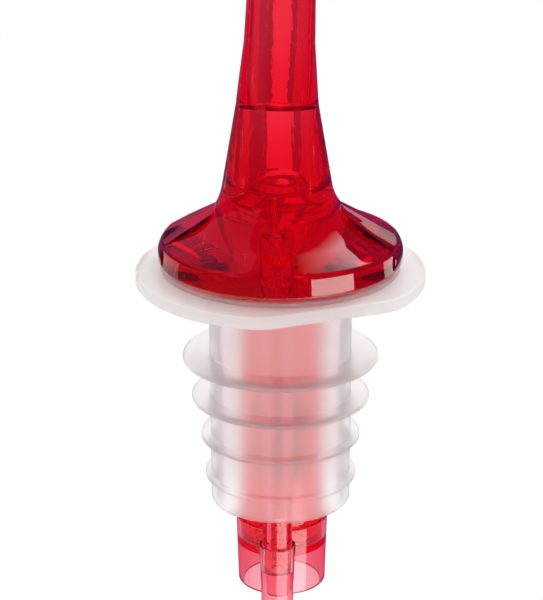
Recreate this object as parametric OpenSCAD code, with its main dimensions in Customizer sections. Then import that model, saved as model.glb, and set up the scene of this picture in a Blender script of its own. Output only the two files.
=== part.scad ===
// Measured bottle pourer: red spout body on a finned cork, with a loose collar, a ball-timed measuring
// chamber and a breather tube. The origin is on the cork's axis, at the underside of the collar, which
// rests on the bottle's lip. +Z points up the spout, -Y is the vent side and the spout leans to +Y.

/* [Cork sleeve] */
// Outside diameter of the sleeve under the collar
cork_d = 17.6; // [16.8:0.1:19]
// How much the sleeve narrows towards its lower end, on the diameter
cork_draft = 0.2; // [0:0.1:0.4]
// Wall of the sleeve
cork_wall = 0.85; // [0.7:0.05:0.9]
// Length of the sleeve below the collar
cork_len = 29; // [27:0.5:31]
// Diameter of the lip on top of the sleeve
cork_lip_d = 29.2; // [26:0.2:30]
// Thickness of the lip
cork_lip_t = 0.65; // [0.5:0.05:1.5]
// Thickness of the web inside the sleeve that holds the tubes
cork_web_t = 3.6; // [2:0.2:6]
// Rounding of the sleeve's lower edge
cork_edge = 0.35; // [0.1:0.05:0.4]

/* [Cork fins] */
// Depth of the first fin below the collar
fin_1_depth = 9.8; // [8:0.1:10]
// Distance from fin to fin
fin_pitch = 5.27; // [4:0.01:5.5]
// How far the first fin stands out from the sleeve
fin_1_reach = 3.3; // [2.5:0.1:4]
// How far the second fin stands out
fin_2_reach = 2.2; // [1.5:0.1:3]
// How far the third fin stands out
fin_3_reach = 1.1; // [0.8:0.1:2]
// How far the fourth fin stands out
fin_4_reach = 0.6; // [0.4:0.1:1.5]
// Thickness of a fin at its rim
fin_rim_t = 0.5; // [0.4:0.05:0.6]
// Thickness of a fin at the sleeve
fin_root_t = 0.9; // [0.7:0.05:1.2]

/* [Collar] */
// Diameter of the collar
collar_d = 35.4; // [33:0.2:40]
// Thickness of the collar
collar_t = 1.6; // [1.2:0.1:2.5]
// Distance of the flat from the axis
collar_flat = 15.7; // [14.5:0.1:16.4]
// Turn of the flat from the front towards +X
collar_turn = 26; // [0:1:60]
// Rounding of the collar's edges
collar_edge = 0.3; // [0.1:0.05:0.5]
// Gap round the sleeve and above the collar, which lets it turn
collar_clear = 0.06; // [0.04:0.01:0.1]

/* [Flange and neck] */
// Diameter of the flange
rim_d = 29.7; // [29:0.1:32]
// How much the flange narrows at its lower edge, on the radius
rim_undercut = 0.6; // [0.2:0.05:0.8]
// Height of the flange's rim at the sides
rim_h = 3; // [2.6:0.05:3.4]
// Slope of the bell near the rim
bell_slope = 22; // [20:0.5:24]
// Radius of the sweep from the bell into the neck
bell_sweep_r = 7; // [6:0.1:8]
// How far the neck stands out behind the chamber, where the sweep begins
neck_wall = 0.7; // [0.5:0.05:0.9]
// Slope of the neck's side
neck_slope = 80.3; // [79:0.1:82]
// Height of the elbow above the flange's base
elbow_h = 19.9; // [18.6:0.1:24]
// Sideways place of the neck from the cork's axis
neck_shift = -0.4; // [-0.6:0.1:0.6]

/* [Spout] */
// Lean of the spout away from the vent
spout_tilt = 32; // [20:1:40]
// Length of the spout from the elbow to its tip
spout_len = 40; // [30:1:50]
// Length over which the spout narrows quickly
spout_taper_len = 7.5; // [6:0.5:10]
// How much the spout narrows there, on the diameter
spout_narrowing = 1.3; // [0.6:0.1:1.8]
// Diameter of the straight tip
tip_d = 7.5; // [7:0.1:8]
// Length of the straight tip
tip_len = 8; // [5:0.5:12]
// Bore of the spout
outlet_d = 5.2; // [4.6:0.1:5.6]
// Wall of the neck round its bore below the elbow
neck_top_wall = 1.5; // [1.2:0.1:1.9]
// Wall of the neck round its bore above the ball seat
neck_low_wall = 2.7; // [2.4:0.1:3.2]

/* [Wings] */
// Width of a wing near the neck
wing_root_w = 3.6; // [3:0.1:4.4]
// Width of a wing at the rim
wing_end_w = 9.6; // [8.4:0.1:10]
// Height of a wing above the flange's base where it leaves the neck
wing_root_h = 7.35; // [7.2:0.05:7.6]
// Slope of a wing's top
wing_slope = 29.5; // [28:0.5:31]
// Radius of a wing's outer shoulder
wing_shoulder_r = 2.6; // [1.5:0.1:3]

/* [Measuring chamber] */
// Wall of the chamber tube
tube_wall = 1.6; // [1.2:0.1:1.8]
// Gap between the tube and the inside of the sleeve
tube_gap = 0.3; // [0.2:0.05:0.5]
// Depth of the tube's lower end below the collar
tube_depth = 35.45; // [33:0.1:40]
// How far the tube goes up into the flange
tube_socket = 5.25; // [4:0.05:5.4]
// Straight bore above the tube, up to the ball seat
seat_land = 1.7; // [1.2:0.1:2]
// Width of the ball seat inside the line where the ball touches it
seat_width = 0.1; // [0.05:0.05:0.4]
// Slope of the ball seat from the axis
seat_angle = 35; // [32:1:38]
// Length of the throat above the seat
throat_len = 1.25; // [0.8:0.05:2]
// Gap round the two chamber balls, which sets how fast they travel
ball_gap = 0.425; // [0.3:0.005:0.6]

/* [Tail cap] */
// Wall of the cap at its top
cap_wall = 0.625; // [0.5:0.025:0.8]
// How much the cap narrows towards its open end, on the diameter
cap_draft = 0.55; // [0.2:0.05:0.8]
// Length of the cap
cap_len = 9.1; // [8:0.1:12]
// How far the cap goes over the tube
cap_overlap = 2.9; // [2:0.1:4]
// Thickness of the floor that stops the tube
cap_floor_t = 1; // [0.8:0.1:1.5]
// How far the floor reaches in under the tube's bore
cap_floor_reach = 0.3; // [0.2:0.05:0.8]
// Wall of the cap's skirt below the floor
cap_skirt_wall = 0.7; // [0.5:0.05:0.9]
// Thickness of the crossed ribs that carry the balls
rib_t = 0.9; // [0.7:0.1:1.2]
// Height of the crossed ribs above the floor
rib_h = 7.3; // [5:0.1:9]

/* [Vent and breather] */
// Outside diameter of the vent tube
vent_d = 3.7; // [3.4:0.05:3.75]
// Bore of the vent tube
vent_bore_d = 1.9; // [1.6:0.05:2]
// Gap between the vent tube and the inside of the sleeve
vent_gap = 0.15; // [0.1:0.05:0.4]
// Gap between the breather tube and the tail cap
breather_gap = 0.125; // [0.1:0.025:0.4]
// How far the vent tube goes up into the flange
vent_socket = 5.2; // [4:0.1:5.4]
// How far the vent tube goes into the breather tube
vent_overlap = 3.5; // [2.5:0.1:5]
// Diameter of the air port that breaks out through the front of the neck
port_d = 1.1; // [0.9:0.1:1.3]
// Height of the air port's top above the flange's base
port_h = 10.1; // [9.4:0.1:11]
// How far the air port stands out past the foot of the neck's cone
port_reach = 0.3; // [0.2:0.05:0.4]
// Room above the vent tube, where the air port begins
vent_room = 1; // [0.6:0.1:1.4]
// Depth of the breather tube's top below the collar
breather_top_depth = 33.1; // [30:0.1:36]
// Length of the breather tube
breather_len = 27; // [22:0.5:40]
// Wall of the breather tube where it is stretched over the vent tube
breather_top_wall = 0.4; // [0.3:0.05:0.6]
// Wall of the breather tube below
breather_wall = 0.5; // [0.4:0.05:0.6]
// Length of the stretched end
breather_flare_len = 6.4; // [5:0.1:8]
// Bore of the breather tube
breather_bore_d = 3; // [2.8:0.05:3.1]
// Gap round the breather ball
breather_ball_gap = 0.31; // [0.25:0.01:0.36]
// Hole through the stop at the end of the breather tube
stop_hole_d = 1.4; // [1:0.1:1.6]
// Length of the stop inside the tube
stop_len = 2.6; // [2:0.1:4]
// Thickness of the stop's head below the tube
stop_head_t = 0.8; // [0.6:0.1:1.2]
// Depth and width of the air slots in the stop
stop_slot = 0.5; // [0.4:0.05:0.7]

/* [Fits] */
// Gap round each pushed-in tube, on the radius
push_fit = 0.02; // [0.01:0.01:0.03]
// Gap left at a ball where it rests or seats
ball_rest_gap = 0.03; // [0.02:0.01:0.08]

/* [Hidden] */
$fn = 96;
cut = 0.5;          // how far a cutter runs past the face that it opens
arc_steps = 10;     // points on each rounded stretch of an outline

red_clear = [0.82, 0.05, 0.13];
frosted = [0.95, 0.92, 0.92];
steel = [0.75, 0.76, 0.78];

// Heights
lip_z = collar_t + collar_clear;
base_z = lip_z + cork_lip_t;
elbow_z = base_z + elbow_h;
tube_top_z = base_z + tube_socket;
tube_end_z = -tube_depth;
seat_z = tube_top_z + seat_land;
cap_top_z = tube_end_z + cap_overlap;
cap_end_z = cap_top_z - cap_len;
rib_top_z = tube_end_z + rib_h;
vent_top_z = base_z + vent_socket;
breather_top_z = -breather_top_depth;
vent_end_z = breather_top_z - vent_overlap;
breather_end_z = breather_top_z - breather_len;
stop_top_z = breather_end_z + stop_len;

// The chamber tube and the vent tube share the inside of the sleeve, with room between them for the tail cap
// and for the breather tube that is stretched over the vent tube.
cork_r = cork_d / 2;
cork_end_r = cork_r - cork_draft / 2;
cork_inner_r = cork_end_r - cork_wall;
vent_r = vent_d / 2;
tubes_gap = cap_wall + breather_gap + breather_top_wall;
tube_r = cork_inner_r - vent_r - (tube_gap + vent_gap + tubes_gap) / 2;
tube_back = cork_inner_r - tube_gap - tube_r;
vent_front = cork_inner_r - vent_gap - vent_r;

// Radii
rim_r = rim_d / 2;
chamber_r = tube_r - tube_wall;
ball_r = chamber_r - ball_gap;
throat_r = ball_r * cos(seat_angle) - seat_width;
cap_r = tube_r + cap_wall;
cap_end_r = cap_r - cap_draft / 2;
breather_bore_r = breather_bore_d / 2;
breather_r = breather_bore_r + breather_wall;
breather_top_r = vent_r + breather_top_wall;
breather_ball_r = breather_bore_r - breather_ball_gap;
bell_reach = rim_r + abs(neck_shift) + cut;   // the bell's outline runs past the rim, which trims it

// The neck is a cone from the elbow down to where the bell's sweep begins. The sweep turns from the cone's
// slope to the bell's slope, and the bell then falls in a straight line to the rim.
neck_base_r = tube_back + chamber_r + neck_wall;
sweep_end_r = neck_base_r + bell_sweep_r * (sin(neck_slope) - sin(bell_slope));
sweep_drop = bell_sweep_r * (cos(bell_slope) - cos(neck_slope));
bell_rim_z = base_z + rim_h;
neck_base_z = bell_rim_z + tan(bell_slope) * (rim_r - sweep_end_r) + sweep_drop;
elbow_r = neck_base_r - (elbow_z - neck_base_z) / tan(neck_slope);

// Places of the balls at rest, lower one first
timing_ball_z = rib_top_z + ball_rest_gap + ball_r;
cutoff_ball_z = timing_ball_z + 2 * ball_r + ball_rest_gap;
breather_ball_z = stop_top_z + ball_rest_gap + breather_ball_r;

// Points of an arc round [x, z], from angle a0 to a1
function arc(x, z, r, a0, a1) =
    [for (i = [0:arc_steps]) let (a = a0 + (a1 - a0) * i / arc_steps) [x + r * cos(a), z + r * sin(a)]];

// Puts a piece on the chamber's axis, or on the vent's
module on_chamber_axis() { translate([0, tube_back, 0]) children(); }
module on_vent_axis() { translate([0, -vent_front, 0]) children(); }

// A plain round hole or tube core from z0 to z1
module bar(r, z0, z1) { translate([0, 0, z0]) cylinder(r = r, h = z1 - z0); }

// A cone frustum from radius r0 at z0 to r1 at z1
module taper(r0, r1, z0, z1) { translate([0, 0, z0]) cylinder(r1 = r0, r2 = r1, h = z1 - z0); }

// Leans a piece drawn along Z to lie on the spout, from the elbow outwards
module along_spout() { translate([neck_shift, 0, elbow_z]) rotate([-spout_tilt, 0, 0]) children(); }

// Neck and bell as turned, before the rim trims them
module neck_and_bell() {
    sweep_x = neck_base_r + bell_sweep_r * sin(neck_slope);
    sweep_z = neck_base_z + bell_sweep_r * cos(neck_slope);
    sweep = arc(sweep_x, sweep_z, bell_sweep_r, 270 - neck_slope, 270 - bell_slope);
    outer_z = bell_rim_z - tan(bell_slope) * (bell_reach - rim_r);
    translate([neck_shift, 0, 0])
        rotate_extrude()
            polygon(concat([[0, base_z], [0, elbow_z], [elbow_r, elbow_z]], sweep,
                           [[bell_reach, outer_z], [bell_reach, base_z]]));
}

// Room that the flange may fill: a cylinder with its lower edge drawn in
module rim_room() {
    rotate_extrude()
        polygon([[0, base_z], [rim_r - rim_undercut, base_z], [rim_r, base_z + rim_undercut],
                 [rim_r, elbow_z], [0, elbow_z]]);
}

// One wing: a sloping ridge from the neck to the rim, wider at the rim
module wing() {
    root_z = base_z + wing_root_h;
    shoulder_x = rim_r - wing_shoulder_r;
    shoulder_z = root_z - tan(wing_slope) * (shoulder_x - neck_base_r) - wing_shoulder_r / cos(wing_slope);
    inner_z = root_z + tan(wing_slope) * neck_base_r;
    intersection() {
        rotate([90, 0, 0])
            linear_extrude(height = wing_root_w, center = true)
                polygon(concat([[0, base_z], [rim_r, base_z]],
                               arc(shoulder_x, shoulder_z, wing_shoulder_r, 0, 90 - wing_slope),
                               [[0, inner_z]]));
        linear_extrude(height = elbow_z)
            polygon([[0, -wing_root_w / 2], [neck_base_r, -wing_root_w / 2], [rim_r, -wing_end_w / 2],
                     [rim_r, wing_end_w / 2], [neck_base_r, wing_root_w / 2], [0, wing_root_w / 2]]);
    }
}

// Outside of the spout beyond the elbow
module spout_outside() {
    along_spout()
        rotate_extrude()
            polygon([[0, 0], [elbow_r, 0], [elbow_r - spout_narrowing / 2, spout_taper_len],
                     [tip_d / 2, spout_len - tip_len], [tip_d / 2, spout_len], [0, spout_len]]);
    translate([neck_shift, 0, elbow_z]) sphere(r = elbow_r);
}

// Way of the liquid: tube socket, ball seat, throat, neck and spout
module liquid_way() {
    throat_z = seat_z + (chamber_r - throat_r) / tan(seat_angle);
    neck_bore_z = throat_z + throat_len;
    on_chamber_axis() {
        bar(tube_r + push_fit, base_z - cut, tube_top_z);
        bar(chamber_r, tube_top_z - cut, seat_z);
        taper(chamber_r, throat_r, seat_z, throat_z);
        bar(throat_r, throat_z - cut, neck_bore_z + cut);
    }
    neck_bore_r = neck_base_r - (neck_bore_z - neck_base_z) / tan(neck_slope) - neck_low_wall;
    translate([neck_shift, 0, 0]) taper(neck_bore_r, elbow_r - neck_top_wall, neck_bore_z, elbow_z);
    along_spout() bar(outlet_d / 2, 0, spout_len + cut);
}

// Way of the air: a straight port that breaks out where the neck narrows, and the socket of the vent tube
module air_way() {
    port_y = port_d / 2 - neck_base_r - port_reach;
    translate([neck_shift, port_y, 0]) bar(port_d / 2, vent_top_z, base_z + port_h);
    on_vent_axis() {
        bar(vent_r + push_fit, base_z - cut, vent_top_z);
        bar(vent_bore_d / 2, vent_top_z - cut, vent_top_z + vent_room);
    }
}

module spout_body() {
    color(red_clear)
        difference() {
            union() {
                intersection() {
                    neck_and_bell();
                    rim_room();
                }
                intersection() {
                    union() {
                        wing();
                        mirror([1, 0, 0]) wing();
                    }
                    rim_room();
                }
                spout_outside();
            }
            liquid_way();
            air_way();
        }
}

module chamber_tube() {
    color(red_clear)
        on_chamber_axis()
            difference() {
                bar(tube_r, tube_end_z, tube_top_z);
                bar(chamber_r, tube_end_z - cut, tube_top_z + cut);
            }
}

// Cap over the tube's end. Its floor stops the tube, and two crossed ribs stand on the floor's edge inside
// the tube and carry the balls, with the inlet between them.
module tail_cap() {
    floor_low_z = tube_end_z - cap_floor_t;
    skirt_r = cap_end_r - cap_skirt_wall;
    rib_r = chamber_r - push_fit;
    color(red_clear)
        on_chamber_axis() {
            difference() {
                taper(cap_end_r, cap_r, cap_end_z, cap_top_z);
                bar(tube_r + push_fit, tube_end_z, cap_top_z + cut);
                bar(chamber_r - cap_floor_reach, cap_end_z, cap_top_z);
                bar(skirt_r, cap_end_z - cut, floor_low_z);
            }
            intersection() {
                bar(rib_r, floor_low_z, rib_top_z);
                union() {
                    translate([-rib_r, -rib_t / 2, floor_low_z])
                        cube([2 * rib_r, rib_t, rib_top_z - floor_low_z]);
                    translate([-rib_t / 2, -rib_r, floor_low_z])
                        cube([rib_t, 2 * rib_r, rib_top_z - floor_low_z]);
                }
            }
        }
}

module cutoff_ball() { color(steel) on_chamber_axis() translate([0, 0, cutoff_ball_z]) sphere(r = ball_r); }

module timing_ball() { color(steel) on_chamber_axis() translate([0, 0, timing_ball_z]) sphere(r = ball_r); }

// One fin, drawn at height 0
module fin(reach) {
    root_r = cork_r - cork_wall / 2;
    rotate_extrude()
        polygon([[root_r, -fin_root_t / 2], [cork_r + reach, -fin_rim_t / 2],
                 [cork_r + reach, fin_rim_t / 2], [root_r, fin_root_t / 2]]);
}

module cork_sleeve() {
    fin_reach = [fin_1_reach, fin_2_reach, fin_3_reach, fin_4_reach];
    web_z = base_z - cork_web_t;
    color(frosted)
        difference() {
            union() {
                rotate_extrude()
                    polygon(concat([[0, base_z], [0, web_z], [cork_r - cork_wall, web_z],
                                    [cork_inner_r, -cork_len]],
                                   arc(cork_end_r - cork_edge, cork_edge - cork_len, cork_edge, -90, 0),
                                   [[cork_r, 0], [cork_r, lip_z], [cork_lip_d / 2, lip_z],
                                    [cork_lip_d / 2, base_z]]));
                for (i = [0:3])
                    translate([0, 0, -fin_1_depth - i * fin_pitch])
                        fin(fin_reach[i]);
            }
            on_chamber_axis() bar(tube_r + push_fit, web_z - cut, base_z + cut);
            on_vent_axis() bar(vent_r + push_fit, web_z - cut, base_z + cut);
        }
}

// Loose disc round the sleeve with one flat on its edge
module collar() {
    outer_r = collar_d / 2;
    color(frosted)
        difference() {
            rotate_extrude()
                polygon(concat([[cork_r + collar_clear, collar_t], [cork_r + collar_clear, 0]],
                               arc(outer_r - collar_edge, collar_edge, collar_edge, -90, 0),
                               arc(outer_r - collar_edge, collar_t - collar_edge, collar_edge, 0, 90)));
            rotate([0, 0, collar_turn - 90])
                translate([collar_flat, -outer_r, -cut])
                    cube([outer_r, 2 * outer_r, collar_t + 2 * cut]);
        }
}

module vent_tube() {
    color(red_clear)
        on_vent_axis()
            difference() {
                bar(vent_r, vent_end_z, vent_top_z);
                bar(vent_bore_d / 2, vent_end_z - cut, vent_top_z + cut);
            }
}

// Tube pushed over the end of the vent tube, stretched there and plain below
module breather_tube() {
    color(red_clear)
        on_vent_axis()
            difference() {
                union() {
                    taper(breather_r, breather_top_r, breather_top_z - breather_flare_len, breather_top_z);
                    bar(breather_r, breather_end_z, breather_top_z - breather_flare_len);
                }
                bar(vent_r + push_fit, vent_end_z, breather_top_z + cut);
                bar(breather_bore_r, breather_end_z - cut, breather_top_z);
            }
}

module breather_ball() {
    color(steel) on_vent_axis() translate([0, 0, breather_ball_z]) sphere(r = breather_ball_r);
}

// Bush in the breather tube's end. Crossed slots in its top let air past the ball that rests there.
module breather_stop() {
    color(red_clear)
        on_vent_axis()
            difference() {
                union() {
                    bar(breather_bore_r - push_fit, breather_end_z, stop_top_z);
                    bar(breather_r, breather_end_z - stop_head_t, breather_end_z);
                }
                bar(stop_hole_d / 2, breather_end_z - stop_head_t - cut, stop_top_z + cut);
                for (a = [0, 90])
                    rotate([0, 0, a])
                        translate([-breather_r, -stop_slot / 2, stop_top_z - stop_slot])
                            cube([2 * breather_r, stop_slot, stop_slot + cut]);
            }
}

spout_body();
chamber_tube();
tail_cap();
cutoff_ball();
timing_ball();
cork_sleeve();
collar();
vent_tube();
breather_tube();
breather_ball();
breather_stop();
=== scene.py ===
"""Looks of a measured bottle pourer: a clear red spout on a frosted finned cork, with tubes and balls."""

import math

import bpy
from mathutils import Matrix, Vector


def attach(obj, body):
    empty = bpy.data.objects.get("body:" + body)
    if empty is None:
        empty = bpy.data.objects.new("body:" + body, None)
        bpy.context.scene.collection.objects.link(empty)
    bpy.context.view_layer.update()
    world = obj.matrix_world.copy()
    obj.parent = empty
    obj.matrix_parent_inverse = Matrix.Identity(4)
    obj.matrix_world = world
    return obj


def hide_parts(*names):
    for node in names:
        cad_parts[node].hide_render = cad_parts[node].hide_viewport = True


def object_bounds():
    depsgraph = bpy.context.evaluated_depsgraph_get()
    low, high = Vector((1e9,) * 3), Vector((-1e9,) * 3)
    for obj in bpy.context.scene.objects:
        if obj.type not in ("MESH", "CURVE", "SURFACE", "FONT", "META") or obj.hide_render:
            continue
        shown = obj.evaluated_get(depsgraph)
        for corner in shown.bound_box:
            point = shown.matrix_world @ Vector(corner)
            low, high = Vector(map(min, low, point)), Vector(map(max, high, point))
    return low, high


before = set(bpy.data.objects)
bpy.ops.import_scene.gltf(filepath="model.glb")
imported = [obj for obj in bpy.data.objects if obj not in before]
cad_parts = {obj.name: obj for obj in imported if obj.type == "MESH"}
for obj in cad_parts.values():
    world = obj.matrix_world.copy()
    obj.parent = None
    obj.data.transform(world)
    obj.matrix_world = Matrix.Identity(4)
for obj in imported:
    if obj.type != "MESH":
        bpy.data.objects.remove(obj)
cad_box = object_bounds()
MM = 0.001


# The chamber tube is a straight length of clear red tube, cut square. It is pushed up into the spout body
# and passes through the cork. The pour is timed inside it.
CHAMBER_Y = 2.35
CHAMBER_BORE_R = 3.6
CHAMBER_R = 5.2
CHAMBER_TOP_Z = 7.54
CHAMBER_END_Z = -35.43
TUBE_EDGE = 0.15
TURN_STEPS = 160
ARC_POINTS = 7
SMOOTH_ANGLE = math.radians(20)
MERGE = 1e-7


def rounded(corners):
    """Outline through corners of (radius, height, rounding) in mm, with an arc at each rounded one."""
    outline = []
    for i, (x, z, rounding) in enumerate(corners):
        here = Vector((x, z))
        if not rounding:
            outline.append(here)
            continue
        back = (Vector(corners[i - 1][:2]) - here).normalized()
        ahead = (Vector(corners[(i + 1) % len(corners)][:2]) - here).normalized()
        half = back.angle(ahead) / 2
        centre = here + (back + ahead).normalized() * rounding / math.sin(half)
        start = here + back * rounding / math.tan(half) - centre
        sweep_angle = start.angle_signed(here + ahead * rounding / math.tan(half) - centre)
        for k in range(ARC_POINTS + 1):
            spoke = start.copy()
            spoke.rotate(Matrix.Rotation(-sweep_angle * k / ARC_POINTS, 2))
            outline.append(centre + spoke)
    return outline


def drawn(name, points):
    """Draws a closed outline through points in mm by extruding a vertex, and stays in edit mode."""
    bpy.ops.object.select_all(action="DESELECT")
    bpy.ops.mesh.primitive_plane_add(size=MM, location=(0, 0, 0))
    piece = bpy.context.object
    piece.name = name
    piece.data.name = name
    bpy.ops.object.mode_set(mode="EDIT")
    bpy.ops.mesh.select_all(action="SELECT")
    bpy.ops.mesh.merge(type="CENTER")
    bpy.ops.transform.translate(value=[c * MM for c in points[0]])
    for a, b in zip(points, [*points[1:], points[0]]):
        step = [(q - p) * MM for p, q in zip(a, b)]
        bpy.ops.mesh.extrude_vertices_move(TRANSFORM_OT_translate={"value": step})
    bpy.ops.mesh.select_all(action="SELECT")
    bpy.ops.mesh.remove_doubles(threshold=MERGE)
    return piece


def turned(name, outline, axis_y=0.0, steps=TURN_STEPS):
    """Draws a closed outline of (radius, height) in mm and spins it round a Z axis."""
    piece = drawn(name, [(p.x, axis_y, p.y) for p in outline])
    bpy.ops.mesh.spin(steps=steps, angle=math.tau, center=(0, axis_y * MM, 0), axis=(0, 0, 1))
    bpy.ops.mesh.select_all(action="SELECT")
    bpy.ops.mesh.remove_doubles(threshold=MERGE)
    bpy.ops.mesh.delete_loose()
    bpy.ops.mesh.select_all(action="SELECT")
    bpy.ops.mesh.normals_make_consistent(inside=False)
    bpy.ops.object.mode_set(mode="OBJECT")
    return piece


def pick(piece):
    """Selects a piece alone and makes it the active one."""
    bpy.ops.object.select_all(action="DESELECT")
    piece.select_set(True)
    bpy.context.view_layer.objects.active = piece


def smooth(piece):
    """Smooth shading that keeps the sharp edges, with the large faces setting the normals."""
    pick(piece)
    bpy.ops.object.shade_smooth_by_angle(angle=SMOOTH_ANGLE)
    weighted = piece.modifiers.new("weighted", "WEIGHTED_NORMAL")
    weighted.keep_sharp = True
    bpy.ops.object.modifier_apply(modifier=weighted.name)


def new_material(name):
    """An empty material with its output, its Principled shader and Object coordinates."""
    material = bpy.data.materials.new(name)
    material.use_nodes = True
    nodes = material.node_tree.nodes
    nodes.clear()
    shader = nodes.new("ShaderNodeBsdfPrincipled")
    output = nodes.new("ShaderNodeOutputMaterial")
    place = nodes.new("ShaderNodeTexCoord")
    material.node_tree.links.new(shader.outputs["BSDF"], output.inputs["Surface"])
    return material, shader, output, place


def noise(nodes, scale, detail):
    """A noise texture of one scale and detail."""
    texture = nodes.new("ShaderNodeTexNoise")
    texture.inputs["Scale"].default_value = scale
    texture.inputs["Detail"].default_value = detail
    return texture


def rise(nodes, low, high):
    """A map that rises from 0 at a low value to 1 at a high one."""
    spread = nodes.new("ShaderNodeMapRange")
    spread.inputs["From Min"].default_value = low
    spread.inputs["From Max"].default_value = high
    return spread


def math_node(nodes, operation):
    """A Math node of one kind."""
    node = nodes.new("ShaderNodeMath")
    node.operation = operation
    return node


def bump(nodes, strength, depth):
    """A bump of one strength, with its depth in mm."""
    node = nodes.new("ShaderNodeBump")
    node.inputs["Strength"].default_value = strength
    node.inputs["Distance"].default_value = depth * MM
    return node


# How each of the two sets of scratches is turned, and how far it is squeezed along each axis.
SCRATCH_LAYS = (((0.5, 0.35, 0.9), (160, 5200, 160)), ((-0.7, 0.2, -0.5), (4300, 130, 130)))


def handling_marks():
    """Node group: fine scratches in two directions and soft smears, as handled clear plastic gets them."""
    group = bpy.data.node_groups.new("handling_marks", "ShaderNodeTree")
    sockets = group.interface
    sockets.new_socket("Vector", in_out="INPUT", socket_type="NodeSocketVector")
    for name in ("Base Roughness", "Scratch Roughness", "Smear"):
        sockets.new_socket(name, in_out="INPUT", socket_type="NodeSocketFloat")
    for name in ("Roughness", "Scratches"):
        sockets.new_socket(name, in_out="OUTPUT", socket_type="NodeSocketFloat")
    nodes, links = group.nodes, group.links
    enter = nodes.new("NodeGroupInput")
    leave = nodes.new("NodeGroupOutput")
    both = math_node(nodes, "MAXIMUM")
    for k, (turn, squeeze) in enumerate(SCRATCH_LAYS):
        lay = nodes.new("ShaderNodeMapping")
        lay.inputs["Rotation"].default_value = turn
        lay.inputs["Scale"].default_value = squeeze
        grain = noise(nodes, scale=1.0, detail=2.0)
        keep = rise(nodes, low=0.74, high=0.8)
        links.new(enter.outputs["Vector"], lay.inputs["Vector"])
        links.new(lay.outputs["Vector"], grain.inputs["Vector"])
        links.new(grain.outputs["Fac"], keep.inputs["Value"])
        links.new(keep.outputs["Result"], both.inputs[k])
    cloud = noise(nodes, scale=240.0, detail=3.0)
    patches = rise(nodes, low=0.55, high=0.8)
    links.new(enter.outputs["Vector"], cloud.inputs["Vector"])
    links.new(cloud.outputs["Fac"], patches.inputs["Value"])
    smear = math_node(nodes, "MULTIPLY_ADD")
    links.new(patches.outputs["Result"], smear.inputs[0])
    links.new(enter.outputs["Smear"], smear.inputs[1])
    links.new(enter.outputs["Base Roughness"], smear.inputs[2])
    scratched = math_node(nodes, "MULTIPLY_ADD")
    links.new(both.outputs["Value"], scratched.inputs[0])
    links.new(enter.outputs["Scratch Roughness"], scratched.inputs[1])
    links.new(smear.outputs["Value"], scratched.inputs[2])
    links.new(scratched.outputs["Value"], leave.inputs["Roughness"])
    links.new(both.outputs["Value"], leave.inputs["Scratches"])
    return group


marks_group = handling_marks()


def place_marks(material, shader, place, base, scratch, smear):
    """Puts the handling marks in a material as its roughness, and returns them."""
    nodes, links = material.node_tree.nodes, material.node_tree.links
    marks = nodes.new("ShaderNodeGroup")
    marks.node_tree = marks_group
    marks.inputs["Base Roughness"].default_value = base
    marks.inputs["Scratch Roughness"].default_value = scratch
    marks.inputs["Smear"].default_value = smear
    links.new(place.outputs["Object"], marks.inputs["Vector"])
    links.new(marks.outputs["Roughness"], shader.inputs["Roughness"])
    return marks


LINE_SQUEEZE = (1800, 1800, 8)
LINES_BLEND = 2.0


def draw_lines(name, from_z):
    """Node group: lines along a drawn tube or a core pin's bore, and small pits, above a height in mm."""
    group = bpy.data.node_groups.new(name, "ShaderNodeTree")
    group.interface.new_socket("Vector", in_out="INPUT", socket_type="NodeSocketVector")
    group.interface.new_socket("Height", in_out="OUTPUT", socket_type="NodeSocketFloat")
    nodes, links = group.nodes, group.links
    enter = nodes.new("NodeGroupInput")
    leave = nodes.new("NodeGroupOutput")
    stretch = nodes.new("ShaderNodeMapping")
    stretch.inputs["Scale"].default_value = LINE_SQUEEZE
    streak = noise(nodes, scale=1.0, detail=2.0)
    cells = nodes.new("ShaderNodeTexVoronoi")
    cells.inputs["Scale"].default_value = 1000.0
    pits = rise(nodes, low=0.05, high=0.09)
    pits.inputs["To Min"].default_value = 0.75
    split = nodes.new("ShaderNodeSeparateXYZ")
    above = rise(nodes, low=from_z * MM, high=(from_z + LINES_BLEND) * MM)
    add = math_node(nodes, "ADD")
    share = math_node(nodes, "MULTIPLY")
    links.new(enter.outputs["Vector"], stretch.inputs["Vector"])
    links.new(stretch.outputs["Vector"], streak.inputs["Vector"])
    links.new(enter.outputs["Vector"], cells.inputs["Vector"])
    links.new(cells.outputs["Distance"], pits.inputs["Value"])
    links.new(enter.outputs["Vector"], split.inputs["Vector"])
    links.new(split.outputs["Z"], above.inputs["Value"])
    links.new(streak.outputs["Fac"], add.inputs[0])
    links.new(pits.outputs["Result"], add.inputs[1])
    links.new(add.outputs["Value"], share.inputs[0])
    links.new(above.outputs["Result"], share.inputs[1])
    links.new(share.outputs["Value"], leave.inputs["Height"])
    return group


ACRYLIC_IOR = 1.49
RED_SURFACE = (1.0, 0.93, 0.94, 1.0)
RED_ABSORB = (0.98, 0.01, 0.19, 1.0)
RED_DENSITY = 1050.0


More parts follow.
